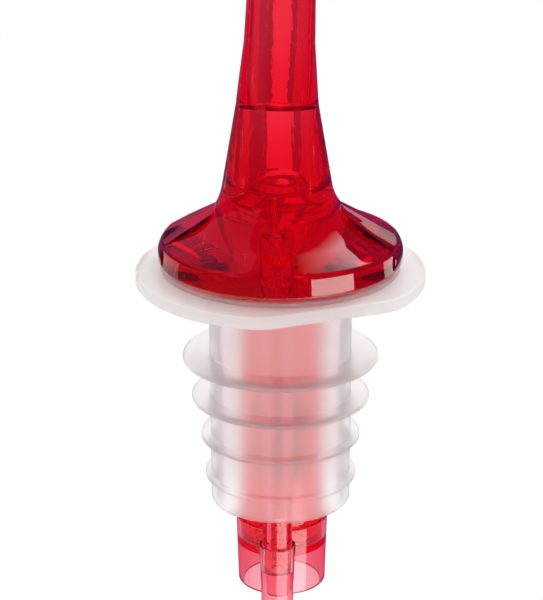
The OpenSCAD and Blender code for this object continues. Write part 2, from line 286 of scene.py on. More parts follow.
def clear_red(name, scratch, lines_group=None):
    """Clear red plastic: colour from absorption in its depth, fine scratches and faint waves of flow."""
    material, shader, output, place = new_material(name)
    nodes, links = material.node_tree.nodes, material.node_tree.links
    shader.inputs["Base Color"].default_value = RED_SURFACE
    shader.inputs["IOR"].default_value = ACRYLIC_IOR
    shader.inputs["Transmission Weight"].default_value = 1.0
    marks = place_marks(material, shader, place, base=0.0, scratch=scratch, smear=0.0)
    flow = noise(nodes, scale=170.0, detail=1.0)
    waves = bump(nodes, strength=1.0, depth=0.03)
    scratches = bump(nodes, strength=0.5, depth=0.02)
    scratches.invert = True
    links.new(place.outputs["Object"], flow.inputs["Vector"])
    links.new(flow.outputs["Fac"], waves.inputs["Height"])
    links.new(marks.outputs["Scratches"], scratches.inputs["Height"])
    links.new(waves.outputs["Normal"], scratches.inputs["Normal"])
    links.new(scratches.outputs["Normal"], shader.inputs["Normal"])
    if lines_group:
        lines = nodes.new("ShaderNodeGroup")
        lines.node_tree = lines_group
        grooves = bump(nodes, strength=1.0, depth=0.018)
        links.new(place.outputs["Object"], lines.inputs["Vector"])
        links.new(lines.outputs["Height"], grooves.inputs["Height"])
        links.new(grooves.outputs["Normal"], waves.inputs["Normal"])
    depth = nodes.new("ShaderNodeVolumeAbsorption")
    depth.inputs["Color"].default_value = RED_ABSORB
    depth.inputs["Density"].default_value = RED_DENSITY
    links.new(depth.outputs["Volume"], output.inputs["Volume"])
    return material


def finish_piece(piece, material, body, node):
    """Gives a modelled piece its material and lets it stand for its CAD node."""
    smooth(piece)
    piece.data.materials.clear()
    piece.data.materials.append(material)
    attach(piece, body)
    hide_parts(node)


BELOW_ALL_Z = -80
red_tube = clear_red("red_tube_clear", scratch=0.25, lines_group=draw_lines("tube_lines", BELOW_ALL_Z))
chamber_tube = turned("chamber_tube_clear", rounded([
    (CHAMBER_BORE_R, CHAMBER_END_Z, TUBE_EDGE), (CHAMBER_R, CHAMBER_END_Z, TUBE_EDGE),
    (CHAMBER_R, CHAMBER_TOP_Z, TUBE_EDGE), (CHAMBER_BORE_R, CHAMBER_TOP_Z, TUBE_EDGE)]), CHAMBER_Y)
finish_piece(chamber_tube, red_tube, "pourer", "chamber_tube")


# The tail cap is a clear red moulding pressed over the tube's lower end. A floor stops the tube, crossed
# ribs on it carry the balls, and a thin skirt below stands round the inlet.
CAP_R = 5.825
CAP_END_R = 5.55
CAP_TOP_Z = -32.55
CAP_END_Z = -41.65
CAP_SEAT_R = 5.22
CAP_FLOOR_Z = -35.45
CAP_FLOOR_T = 1.0
CAP_INLET_R = 3.3
CAP_SKIRT_R = 4.85
CAP_EDGE = 0.12
RIB_TOP_Z = -28.15
RIB_T = 0.9
RIB_R = 3.58


def combine(piece, other, operation):
    """Joins, cuts or trims a piece with another closed mesh, which is then removed."""
    pick(piece)
    boolean = piece.modifiers.new("boolean", "BOOLEAN")
    boolean.operation = operation
    boolean.solver = "EXACT"
    boolean.object = other
    bpy.ops.object.modifier_apply(modifier=boolean.name)
    bpy.data.objects.remove(other)


def block(name, low, high):
    """A box between two corners in mm, which stays in edit mode, all selected."""
    bpy.ops.object.select_all(action="DESELECT")
    bpy.ops.mesh.primitive_cube_add(size=MM, location=(0, 0, 0))
    piece = bpy.context.object
    piece.name = name
    bpy.ops.object.mode_set(mode="EDIT")
    bpy.ops.mesh.select_all(action="SELECT")
    size = [h - l for l, h in zip(low, high)]
    bpy.ops.transform.resize(value=size, center_override=(0, 0, 0))
    middle = [(h + l) / 2 * MM for l, h in zip(low, high)]
    bpy.ops.transform.translate(value=middle)
    return piece


def rib(name, low, high):
    """A rib of the cap between two corners in mm, its edges rounded."""
    piece = block(name, low, high)
    bpy.ops.mesh.bevel(offset=CAP_EDGE * MM, segments=2, affect="EDGES")
    bpy.ops.object.mode_set(mode="OBJECT")
    return piece


red_cap = clear_red("red_cap_clear", scratch=0.2)
floor_under_z = CAP_FLOOR_Z - CAP_FLOOR_T
tail_cap = turned("tail_cap_clear", rounded([
    (CAP_SKIRT_R, CAP_END_Z, CAP_EDGE), (CAP_END_R, CAP_END_Z, CAP_EDGE), (CAP_R, CAP_TOP_Z, CAP_EDGE),
    (CAP_SEAT_R, CAP_TOP_Z, CAP_EDGE), (CAP_SEAT_R, CAP_FLOOR_Z, CAP_EDGE),
    (CAP_INLET_R, CAP_FLOOR_Z, CAP_EDGE), (CAP_INLET_R, floor_under_z, CAP_EDGE),
    (CAP_SKIRT_R, floor_under_z, CAP_EDGE)]), CHAMBER_Y)
rib_low_z = floor_under_z + CAP_EDGE
ribs = rib("rib", (-RIB_R, CHAMBER_Y - RIB_T / 2, rib_low_z), (RIB_R, CHAMBER_Y + RIB_T / 2, RIB_TOP_Z))
cross_rib = rib("cross_rib", (-RIB_T / 2, CHAMBER_Y - RIB_R, rib_low_z + CAP_EDGE),
                (RIB_T / 2, CHAMBER_Y + RIB_R, RIB_TOP_Z - CAP_EDGE))
combine(ribs, cross_rib, "UNION")
combine(tail_cap, ribs, "UNION")
finish_piece(tail_cap, red_cap, "pourer", "tail_cap")


# Two steel balls lie in the chamber on the cap's ribs, and a small one in the breather tube. They are
# ground and polished bearing balls, so they keep their exact shape.
def polished_steel(name):
    """Polished steel with fine scratches and smears, a little darker where it is smoothest."""
    material, shader, output, place = new_material(name)
    nodes, links = material.node_tree.nodes, material.node_tree.links
    shader.inputs["Metallic"].default_value = 1.0
    marks = place_marks(material, shader, place, base=0.08, scratch=0.2, smear=0.12)
    tint = nodes.new("ShaderNodeValToRGB")
    tint.color_ramp.elements[0].color = (0.56, 0.56, 0.58, 1.0)
    tint.color_ramp.elements[1].color = (0.72, 0.72, 0.73, 1.0)
    links.new(marks.outputs["Roughness"], tint.inputs["Fac"])
    links.new(tint.outputs["Color"], shader.inputs["Base Color"])
    return material


def dress_node(node, material):
    """Gives a CAD node that stays in view its material."""
    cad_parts[node].data.materials.clear()
    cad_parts[node].data.materials.append(material)


steel = polished_steel("steel_polished")
for ball in ("cutoff_ball", "timing_ball", "breather_ball"):
    dress_node(ball, steel)


# The spout body is one clear red moulding. A bell-shaped flange sweeps up into a conical neck, the spout
# leans back from the elbow, and a sloping wing stands on each side. The tubes go into its underside.
BASE_Z = 2.31
BASE_ROUND = 0.15
RIM_R = 14.85
RIM_UNDERCUT = 0.6
UNDERCUT_ROUND = 0.3
RIM_DRAFT = 0.3
RIM_ROUND = 0.7
RIM_TOP_Z = 5.31
BELL_SLOPE = math.radians(22)
SWEEP_R = 7.0
SWEEP_POINTS = 32
BELL_POINTS = 10
NECK_SLOPE = math.radians(80.3)
NECK_BASE_R = 6.65
ELBOW_Z = 22.21
ELBOW_R = 4.94
SPOUT_LEAN = math.radians(32)
SPOUT_TAPER_Z = 29.71
SPOUT_MID_R = 4.29
TIP_R = 3.75
TIP_START_Z = 54.21
TIP_Z = 62.21
TIP_ROUND = 0.4
BEND_FROM_Z = 19.9
BEND_STEPS = 12
BEND_PITCH = 0.4
NECK_SHIFT = -0.4
BODY_STEPS = 192

sweep_end_r = NECK_BASE_R + SWEEP_R * (math.sin(NECK_SLOPE) - math.sin(BELL_SLOPE))
sweep_end_z = RIM_TOP_Z + math.tan(BELL_SLOPE) * (RIM_R - sweep_end_r)
neck_base_z = sweep_end_z + SWEEP_R * (math.cos(BELL_SLOPE) - math.cos(NECK_SLOPE))
sweep = []
for k in range(SWEEP_POINTS + 1):
    slope = BELL_SLOPE + (NECK_SLOPE - BELL_SLOPE) * k / SWEEP_POINTS
    sweep.append(Vector((NECK_BASE_R + SWEEP_R * (math.sin(NECK_SLOPE) - math.sin(slope)),
                         neck_base_z - SWEEP_R * (math.cos(slope) - math.cos(NECK_SLOPE)))))
bell_rings = []
for k in range(1, BELL_POINTS):
    r = sweep_end_r + (RIM_R - RIM_ROUND - sweep_end_r) * (1 - k / BELL_POINTS)
    bell_rings.append(Vector((r, RIM_TOP_Z + math.tan(BELL_SLOPE) * (RIM_R - r))))


def neck_r(z):
    """Radius of the neck's outside at a height."""
    return NECK_BASE_R - (z - neck_base_z) / math.tan(NECK_SLOPE)


def outer_r(z):
    """Radius of the outside near the elbow, where the neck's slope runs into the spout's."""
    if z < ELBOW_Z:
        return neck_r(z)
    return ELBOW_R - (ELBOW_R - SPOUT_MID_R) * (z - ELBOW_Z) / (SPOUT_TAPER_Z - ELBOW_Z)


def bend_rings(r_of_z):
    """Rings through the elbow, close enough together to bend there."""
    heights = [BEND_FROM_Z + BEND_PITCH * k for k in range(BEND_STEPS + 1)]
    return [Vector((r_of_z(z), z)) for z in heights]


def select_above(piece, height, heights=None):
    """Selects vertices above a height in mm, as they are or by earlier heights, and stays in edit mode."""
    bpy.ops.object.mode_set(mode="EDIT")
    bpy.ops.mesh.select_all(action="DESELECT")
    bpy.ops.object.mode_set(mode="OBJECT")
    for vertex, z in zip(piece.data.vertices, heights or [v.co.z for v in piece.data.vertices]):
        vertex.select = z > height * MM
    bpy.ops.object.mode_set(mode="EDIT")


def lean_spout(piece):
    """Bends what stands above the elbow back by the spout's lean, a ring at a time."""
    pick(piece)
    rest_heights = [v.co.z for v in piece.data.vertices]
    pivot = Vector((0, 0, BEND_FROM_Z * MM))
    for k in range(BEND_STEPS):
        select_above(piece, BEND_FROM_Z + BEND_PITCH * (k + 0.5), rest_heights)
        bpy.ops.transform.rotate(value=SPOUT_LEAN / BEND_STEPS, orient_axis="X", center_override=pivot)
        bpy.ops.object.mode_set(mode="OBJECT")
        lean = SPOUT_LEAN * (k + 1) / BEND_STEPS
        pivot += Vector((0, math.sin(lean), math.cos(lean))) * BEND_PITCH * MM


def shift_above(piece, steps):
    """Moves what lies above each height sideways, by steps of (height, distance) in mm."""
    pick(piece)
    for height, distance in steps:
        select_above(piece, height)
        bpy.ops.transform.translate(value=(distance * MM, 0, 0))
        bpy.ops.object.mode_set(mode="OBJECT")


def ease(t):
    """A share from 0 to 1 that starts and stops softly."""
    return t * t * (3 - 2 * t)


# The last corner of the rim's stretch only gives its arc a direction, so the bell starts without it.
spout_body = turned("spout_body_clear", [
    *rounded([(0, BASE_Z, 0), (RIM_R - RIM_UNDERCUT, BASE_Z, BASE_ROUND),
              (RIM_R, BASE_Z + RIM_UNDERCUT, UNDERCUT_ROUND),
              (RIM_R - RIM_DRAFT, RIM_TOP_Z + RIM_DRAFT * math.tan(BELL_SLOPE), RIM_ROUND),
              (sweep_end_r, sweep_end_z, 0)])[:-1],
    *bell_rings, *sweep, *bend_rings(outer_r),
    *rounded([(SPOUT_MID_R, SPOUT_TAPER_Z, 0), (TIP_R, TIP_START_Z, 0), (TIP_R, TIP_Z, TIP_ROUND),
              (0, TIP_Z, 0)])], steps=BODY_STEPS)
lean_spout(spout_body)
shift_above(spout_body, [
    ((low.y + high.y) / 2, NECK_SHIFT * (ease((k + 1) / SWEEP_POINTS) - ease(k / SWEEP_POINTS)))
    for k, (low, high) in enumerate(zip(sweep, sweep[1:]))])

PUSH_FIT = 0.02
SOCKET_TOP_Z = 7.56
SEAT_Z = 9.26
THROAT_R = 2.5
THROAT_Z = 10.83
NECK_BORE_Z = 12.08
NECK_BORE_R = 3.972
NECK_BORE_TOP_R = 3.44
NECK_BORE_ROUND = 0.3
BORE_STEP_Z = 21.7
BORE_STEPS = 163
OUTLET_R = 2.6
OUTLET_CHAMFER = 0.3
VENT_Y = -5.85
VENT_R = 1.85
VENT_BORE_R = 0.95
VENT_SOCKET_Z = 7.51
VENT_ROOM_Z = 8.51
VENT_SOCKET_STEPS = 64
PORT_R = 0.55
PORT_TOP_Z = 12.41
PORT_ROUND = 0.2
PORT_REACH = 0.3
PORT_STEPS = 48
WAY_EDGE = 0.1
RUN_PAST = 0.5


def bore_r(z):
    """Radius of the bore near the elbow, with the step where the neck's bore meets the spout's."""
    if z < BORE_STEP_Z - BEND_PITCH:
        depth = BORE_STEP_Z - NECK_BORE_Z
        return NECK_BORE_TOP_R + (NECK_BORE_R - NECK_BORE_TOP_R) * (BORE_STEP_Z - z) / depth
    if z < BORE_STEP_Z:
        return NECK_BORE_TOP_R
    return OUTLET_R


low_z = BASE_Z - RUN_PAST
throat_top_z = NECK_BORE_Z + RUN_PAST
liquid_way = turned("liquid_way", rounded([
    (0, low_z, 0), (CHAMBER_R + PUSH_FIT, low_z, 0), (CHAMBER_R + PUSH_FIT, SOCKET_TOP_Z, WAY_EDGE),
    (CHAMBER_BORE_R, SOCKET_TOP_Z, WAY_EDGE), (CHAMBER_BORE_R, SEAT_Z, WAY_EDGE),
    (THROAT_R, THROAT_Z, WAY_EDGE), (THROAT_R, throat_top_z, 0), (0, throat_top_z, 0)]), CHAMBER_Y)
combine(spout_body, liquid_way, "DIFFERENCE")
past_tip_z = TIP_Z + RUN_PAST - OUTLET_CHAMFER
spout_way = turned("spout_way", [
    *rounded([(0, NECK_BORE_Z, 0), (NECK_BORE_R, NECK_BORE_Z, NECK_BORE_ROUND),
              (bore_r(BEND_FROM_Z), BEND_FROM_Z, 0)])[:-1],
    *bend_rings(bore_r), Vector((OUTLET_R, TIP_Z - OUTLET_CHAMFER)),
    Vector((OUTLET_R + RUN_PAST, past_tip_z)), Vector((0, past_tip_z))], steps=BORE_STEPS)
lean_spout(spout_way)
shift_above(spout_way, [(0, NECK_SHIFT)])
combine(spout_body, spout_way, "DIFFERENCE")
vent_socket = turned("vent_socket", rounded([
    (0, low_z, 0), (VENT_R + PUSH_FIT, low_z, 0), (VENT_R + PUSH_FIT, VENT_SOCKET_Z, WAY_EDGE),
    (VENT_BORE_R, VENT_SOCKET_Z, WAY_EDGE), (VENT_BORE_R, VENT_ROOM_Z, WAY_EDGE), (0, VENT_ROOM_Z, 0)]),
    VENT_Y, steps=VENT_SOCKET_STEPS)
combine(spout_body, vent_socket, "DIFFERENCE")
port_low_z = VENT_SOCKET_Z + WAY_EDGE
air_port = turned("air_port", rounded([
    (0, port_low_z, 0), (PORT_R, port_low_z, WAY_EDGE), (PORT_R, PORT_TOP_Z, PORT_ROUND),
    (0, PORT_TOP_Z, 0)]), PORT_R - NECK_BASE_R - PORT_REACH, steps=PORT_STEPS)
shift_above(air_port, [(0, NECK_SHIFT)])
combine(spout_body, air_port, "DIFFERENCE")

WING_FROM_X = 6.0
WING_ROOT_W = 3.6
WING_END_W = 9.6
WING_ROOT_Z = 9.66
WING_LOW_Z = 3.2
WING_BLOCK_Z = 13.0
WING_SLOPE = math.radians(29.5)
WING_SHOULDER_R = 2.6
WING_PROUD = 0.08
WING_DRAFT = math.radians(20)
CROWN_R = 16.0
CROWN_RISE = 0.45
CROWN_STEPS = 10
CROWN_TILT = math.radians(18)


def cut_away(point, normal):
    """Cuts the selected solid by a plane in mm, drops what lies beyond it and closes the cut."""
    bpy.ops.mesh.select_all(action="SELECT")
    plane_point = [p * MM for p in point]
    bpy.ops.mesh.bisect(plane_co=plane_point, plane_no=normal, use_fill=True, clear_outer=True)


def wing_solid(name):
    """One wing on the +X side: a sloping ridge with a crowned top, wider and rounded off at the rim."""
    wing = block(name, (WING_FROM_X, -WING_END_W, WING_LOW_Z),
                 (RIM_R + RUN_PAST, WING_END_W, WING_BLOCK_Z))
    root = Vector((NECK_BASE_R, 0, WING_ROOT_Z + CROWN_RISE))
    upright = Vector((math.sin(WING_SLOPE), 0, math.cos(WING_SLOPE)))
    fall = math.tan(WING_SLOPE)
    side = Vector((RIM_R - NECK_BASE_R, (WING_END_W - WING_ROOT_W) / 2, 0))
    cut_away(root, upright)
    for way in (1, -1):
        for k in range(CROWN_STEPS):
            tilt = CROWN_TILT * (k + 1) / CROWN_STEPS
            normal = upright * math.cos(tilt) + Vector((0, way * math.sin(tilt), 0))
            cut_away(root + (normal - upright) * CROWN_R, normal)
        outward = Vector((-side.y, way * side.x, 0)).normalized()
        face = outward * math.cos(WING_DRAFT) + Vector((0, 0, math.sin(WING_DRAFT)))
        edge = Vector((side.x, way * side.y, -fall * side.x)).normalized()
        cut_away((NECK_BASE_R, way * WING_ROOT_W / 2, WING_ROOT_Z), face - edge * face.dot(edge))
    bpy.ops.object.mode_set(mode="OBJECT")
    end_r = RIM_R + WING_PROUD
    wing_end = turned("wing_end", rounded([
        (0, 0, 0), (end_r, 0, 0), (end_r, root.z - fall * (end_r - root.x), WING_SHOULDER_R),
        (0, root.z + fall * root.x, 0)]), steps=BODY_STEPS)
    combine(wing, wing_end, "INTERSECT")
    return wing


right_wing = wing_solid("right_wing")
left_wing = wing_solid("left_wing")
bpy.ops.object.mode_set(mode="EDIT")
bpy.ops.mesh.select_all(action="SELECT")
bpy.ops.transform.rotate(value=math.pi, orient_axis="Z", center_override=(0, 0, 0))
bpy.ops.object.mode_set(mode="OBJECT")
combine(spout_body, right_wing, "UNION")
combine(spout_body, left_wing, "UNION")

NECK_LINES_Z = 12.5
red_body = clear_red("red_body_clear", scratch=0.3, lines_group=draw_lines("neck_lines", NECK_LINES_Z))
finish_piece(spout_body, red_body, "pourer", "spout_body")


# The cork is a soft frosted polyethylene sleeve with four sealing fins and a thin lip. Its web is moulded
# with holes for the two tubes, and its lip is trapped under the spout's flange.
CORK_R = 8.8
CORK_END_R = 8.7
CORK_WALL = 0.85
CORK_END_Z = -29.0
CORK_END_ROUND = 0.35
CORK_BORE_ROUND = 0.2
LIP_R = 14.6
LIP_Z = 1.66
LIP_TOP_Z = 2.28
LIP_ROOT_ROUND = 0.1
LIP_ROUND = 0.2
WEB_Z = -1.29
WEB_ROUND = 0.3
FIN_Z = (-9.8, -15.07, -20.34, -25.61)
FIN_R = (12.1, 11.0, 9.9, 9.4)
FIN_RIM_T = 0.5
FIN_RIM_ROUND = 0.2
FIN_ROOT_T = 0.9
FIN_ROOT_ROUND = 0.15
FROST_IOR = 1.08
HAZE_IOR = 2.4
CLOUD_SHADE = 0.985


def cork_outside(z):
    """Radius of the sleeve's outside at a height."""
    return CORK_R + (CORK_END_R - CORK_R) * min(z, 0) / CORK_END_Z


def frosted(name, colour, clear):
    """Milky polyethylene: light passes through it blurred, under a hazy pebbled skin with faint clouds."""
    material, shader, output, place = new_material(name)
    nodes, links = material.node_tree.nodes, material.node_tree.links
    shader.inputs["IOR"].default_value = FROST_IOR
    shader.inputs["Transmission Weight"].default_value = clear
    shader.inputs["Coat Weight"].default_value = 1.0
    shader.inputs["Coat Roughness"].default_value = 0.5
    shader.inputs["Coat IOR"].default_value = HAZE_IOR
    cloud = noise(nodes, scale=420.0, detail=4.0)
    tint = nodes.new("ShaderNodeValToRGB")
    tint.color_ramp.elements[0].position = 0.3
    tint.color_ramp.elements[0].color = [c * CLOUD_SHADE for c in colour] + [1.0]
    tint.color_ramp.elements[1].position = 0.7
    tint.color_ramp.elements[1].color = [*colour, 1.0]
    links.new(place.outputs["Object"], cloud.inputs["Vector"])
    links.new(cloud.outputs["Fac"], tint.inputs["Fac"])
    links.new(tint.outputs["Color"], shader.inputs["Base Color"])
    place_marks(material, shader, place, base=0.92, scratch=0.15, smear=0.06)
    pebble = noise(nodes, scale=5200.0, detail=2.0)
    skin = bump(nodes, strength=0.25, depth=0.03)
    links.new(place.outputs["Object"], pebble.inputs["Vector"])
    links.new(pebble.outputs["Fac"], skin.inputs["Height"])
    links.new(skin.outputs["Normal"], shader.inputs["Normal"])
    return material


cork_outline = [(0, LIP_TOP_Z, 0), (0, WEB_Z, 0), (CORK_R - CORK_WALL, WEB_Z, WEB_ROUND),
                (CORK_END_R - CORK_WALL, CORK_END_Z, CORK_BORE_ROUND),
                (CORK_END_R, CORK_END_Z, CORK_END_ROUND)]
for z, r in sorted(zip(FIN_Z, FIN_R)):
    root_r = cork_outside(z)
    cork_outline += [(root_r, z - FIN_ROOT_T / 2, FIN_ROOT_ROUND), (r, z - FIN_RIM_T / 2, FIN_RIM_ROUND),
                     (r, z + FIN_RIM_T / 2, FIN_RIM_ROUND), (root_r, z + FIN_ROOT_T / 2, FIN_ROOT_ROUND)]
cork_outline += [(CORK_R, LIP_Z, LIP_ROOT_ROUND), (LIP_R, LIP_Z, LIP_ROUND),
                 (LIP_R, LIP_TOP_Z, LIP_ROUND)]
cork_sleeve = turned("cork_sleeve_frosted", rounded(cork_outline))
hole_low_z = WEB_Z - RUN_PAST
hole_top_z = LIP_TOP_Z + RUN_PAST
for name, r, y in (("chamber_hole", CHAMBER_R + PUSH_FIT, CHAMBER_Y),
                   ("vent_hole", VENT_R + PUSH_FIT, VENT_Y)):
    hole = turned(name, [Vector((0, hole_low_z)), Vector((r, hole_low_z)), Vector((r, hole_top_z)),
                         Vector((0, hole_top_z))], y)
    combine(cork_sleeve, hole, "DIFFERENCE")
cork_frost = frosted("cork_frosted", (1.0, 0.95, 0.955), clear=1.0)
finish_piece(cork_sleeve, cork_frost, "pourer", "cork_sleeve")


# The collar is a loose frosted disc that turns round the cork under its lip and covers the bottle's lip.
# One side of it is a flat with rounded corners.
COLLAR_R = 17.7
COLLAR_T = 1.6
COLLAR_BORE_R = 8.86
COLLAR_LEAD = 0.15
COLLAR_EDGE = 0.3
COLLAR_FLAT = 15.7
COLLAR_TURN = math.radians(26)
CORNER_R = 6.0
CORNER_STEPS = 10

corner_in = COLLAR_FLAT - CORNER_R
corner_out = math.sqrt((COLLAR_R - CORNER_R) ** 2 - corner_in ** 2)
corner_angle = math.atan2(corner_out, corner_in)
plan = []
for k in range(BODY_STEPS + 1):
    a = corner_angle + (math.tau - 2 * corner_angle) * k / BODY_STEPS
    plan.append(Vector((COLLAR_R * math.cos(a), COLLAR_R * math.sin(a), 0)))
for k in range(1, CORNER_STEPS + 1):
    a = corner_angle * (k / CORNER_STEPS - 1)
    plan.append(Vector((corner_in + CORNER_R * math.cos(a), CORNER_R * math.sin(a) - corner_out, 0)))
for k in range(CORNER_STEPS):
    a = corner_angle * k / CORNER_STEPS
    plan.append(Vector((corner_in + CORNER_R * math.cos(a), CORNER_R * math.sin(a) + corner_out, 0)))
flat_turn = Matrix.Rotation(COLLAR_TURN - math.pi / 2, 3, "Z")
collar = drawn("collar_frosted", [flat_turn @ p for p in plan])
bpy.ops.mesh.edge_face_add()
bpy.ops.mesh.extrude_region_move(TRANSFORM_OT_translate={"value": (0, 0, COLLAR_T * MM)})
bpy.ops.mesh.select_all(action="SELECT")
bpy.ops.mesh.normals_make_consistent(inside=False)
bpy.ops.object.mode_set(mode="OBJECT")
edges = collar.modifiers.new("edges", "BEVEL")
edges.width = COLLAR_EDGE * MM
edges.segments = 4
edges.limit_method = "ANGLE"
edges.angle_limit = math.radians(45)
bpy.ops.object.modifier_apply(modifier=edges.name)
lead_r = COLLAR_BORE_R + RUN_PAST
collar_bore = turned("collar_bore", rounded([
    (0, -RUN_PAST, 0), (lead_r, -RUN_PAST, 0), (COLLAR_BORE_R, COLLAR_LEAD, WAY_EDGE),
    (COLLAR_BORE_R, COLLAR_T - COLLAR_LEAD, WAY_EDGE), (lead_r, COLLAR_T + RUN_PAST, 0),
    (0, COLLAR_T + RUN_PAST, 0)]))
combine(collar, collar_bore, "DIFFERENCE")
collar_frost = frosted("collar_frosted", (1.0, 0.975, 0.965), clear=0.65)
finish_piece(collar, collar_frost, "collar", "collar")


# The vent tube is a thin clear red tube beside the chamber tube, pushed up into the spout body. The air
# comes down through it from the port in the neck.
VENT_TOP_Z = 7.49
VENT_END_Z = -36.58
VENT_STEPS = 96

vent_tube = turned("vent_tube_clear", rounded([
    (VENT_BORE_R, VENT_END_Z, TUBE_EDGE), (VENT_R, VENT_END_Z, TUBE_EDGE),
    (VENT_R, VENT_TOP_Z, TUBE_EDGE), (VENT_BORE_R, VENT_TOP_Z, TUBE_EDGE)]), VENT_Y, steps=VENT_STEPS)
finish_piece(vent_tube, red_tube, "pourer", "vent_tube")


# The breather tube is a clear red tube stretched over the end of the vent tube, so it is wider there. Its
# top was cut with a blade and is left rough. A slotted bush in its lower end holds the small ball in.
BREATHER_TOP_Z = -33.1
BREATHER_END_Z = -60.08
BREATHER_TOP_R = 2.25
BREATHER_R = 2.0
BREATHER_FLARE_Z = -39.5
BREATHER_FLARE_ROUND = 1.5
BREATHER_BORE_R = 1.5
BREATHER_STEP_Z = -36.6
BREATHER_STEP_ROUND = 0.05
BREATHER_CUT_ROUND = 0.08
ROUGH_CUT = 0.15
ROUGH_SEED = 4

breather_tube = turned("breather_tube_clear", rounded([
    (BREATHER_BORE_R, BREATHER_END_Z, TUBE_EDGE), (BREATHER_R, BREATHER_END_Z, TUBE_EDGE),
    (BREATHER_R, BREATHER_FLARE_Z, BREATHER_FLARE_ROUND),
    (BREATHER_TOP_R, BREATHER_TOP_Z, BREATHER_CUT_ROUND),
    (VENT_R + PUSH_FIT, BREATHER_TOP_Z, BREATHER_CUT_ROUND),
    (VENT_R + PUSH_FIT, BREATHER_STEP_Z, BREATHER_STEP_ROUND),
    (BREATHER_BORE_R, BREATHER_STEP_Z, BREATHER_STEP_ROUND)]), VENT_Y, steps=VENT_STEPS)
select_above(breather_tube, BREATHER_TOP_Z - ROUGH_CUT)
bpy.ops.transform.vertex_random(offset=ROUGH_CUT / 2 * MM, seed=ROUGH_SEED)
bpy.ops.object.mode_set(mode="OBJECT")
finish_piece(breather_tube, red_tube, "pourer", "breather_tube")
dress_node("breather_stop", red_cap)


# The floor is a plain pale sheet at the height of the breather tube's end. It shows white where it is
# looked at, and keeps the pourer's shadow.
FLOOR_SIZE = 6.0
FLOOR_PAINT = (0.9, 0.9, 0.9, 1.0)
FLOOR_GLOW = 0.9


def looked_at(nodes, links):
    """A node that is 1 for rays from the camera and for those in gloss or glass, and else 0."""
    path = nodes.new("ShaderNodeLightPath")
    either = math_node(nodes, "MAXIMUM")
    any_of_three = math_node(nodes, "MAXIMUM")
    links.new(path.outputs["Is Camera Ray"], either.inputs[0])
    links.new(path.outputs["Is Glossy Ray"], either.inputs[1])
    links.new(either.outputs["Value"], any_of_three.inputs[0])
    links.new(path.outputs["Is Transmission Ray"], any_of_three.inputs[1])
    return any_of_three


bpy.ops.object.select_all(action="DESELECT")
floor_z = cad_box[0].z
bpy.ops.mesh.primitive_plane_add(size=FLOOR_SIZE, location=(0, 0, floor_z))
floor = bpy.context.object
floor.name = "floor"
floor_white, floor_shader, floor_output, floor_place = new_material("floor_white")
floor_shader.inputs["Base Color"].default_value = FLOOR_PAINT
floor_shader.inputs["Roughness"].default_value = 0.9
floor_nodes, floor_links = floor_white.node_tree.nodes, floor_white.node_tree.links
glow = floor_nodes.new("ShaderNodeEmission")
blend = floor_nodes.new("ShaderNodeMixShader")
share = math_node(floor_nodes, "MULTIPLY")
share.inputs[1].default_value = FLOOR_GLOW
floor_links.new(looked_at(floor_nodes, floor_links).outputs["Value"], share.inputs[0])
floor_links.new(share.outputs["Value"], blend.inputs["Fac"])
floor_links.new(floor_shader.outputs["BSDF"], blend.inputs[1])
floor_links.new(glow.outputs["Emission"], blend.inputs[2])
floor_links.new(blend.outputs["Shader"], floor_output.inputs["Surface"])
floor_white.cycles.emission_sampling = "NONE"
floor.data.materials.append(floor_white)


# White studio surroundings: white where they are looked at, also in gloss and glass, and a plain level of
# light on the pourer.
PLAIN_WHITE = (1.0, 1.0, 1.0, 1.0)
PLAIN_LEVEL = 0.76

scene = bpy.context.scene
scene.view_settings.view_transform = "Standard"
world = bpy.data.worlds.new("studio")
scene.world = world
world.use_nodes = True
world_nodes, world_links = world.node_tree.nodes, world.node_tree.links
world_nodes.clear()
white = world_nodes.new("ShaderNodeBackground")
white.inputs["Color"].default_value = PLAIN_WHITE
plain = world_nodes.new("ShaderNodeBackground")
plain.inputs["Color"].default_value = PLAIN_WHITE
plain.inputs["Strength"].default_value = PLAIN_LEVEL
world_mix = world_nodes.new("ShaderNodeMixShader")
world_out = world_nodes.new("ShaderNodeOutputWorld")
world_links.new(looked_at(world_nodes, world_links).outputs["Value"], world_mix.inputs["Fac"])
world_links.new(plain.outputs["Background"], world_mix.inputs[1])
world_links.new(white.outputs["Background"], world_mix.inputs[2])
world_links.new(world_mix.outputs["Shader"], world_out.inputs["Surface"])


# Soft boxes light the pourer from above on the right, from the left and from the front. Places and sizes
# of the set are in metres.
def soft_box(name, place, width, height, watts):
    """An area lamp that faces the pourer and isn't seen in its gloss."""
    lamp = bpy.data.lights.new(name, "AREA")
    lamp.shape = "RECTANGLE"
    lamp.size = width
    lamp.size_y = height
    lamp.energy = watts
    box = bpy.data.objects.new(name, lamp)
    box.location = place
    box.rotation_euler = (Vector((0, 0, 0)) - Vector(place)).to_track_quat("-Z", "Y").to_euler()
    box.visible_glossy = False
    scene.collection.objects.link(box)


soft_box("overhead_right", place=(0.25, 0.15, 0.6), width=0.4, height=0.3, watts=1.6)
soft_box("left_fill", place=(-0.55, -0.25, 0.35), width=0.4, height=0.5, watts=0.6)
soft_box("front_fill", place=(0.25, -0.7, 0.3), width=0.5, height=0.5, watts=1.8)


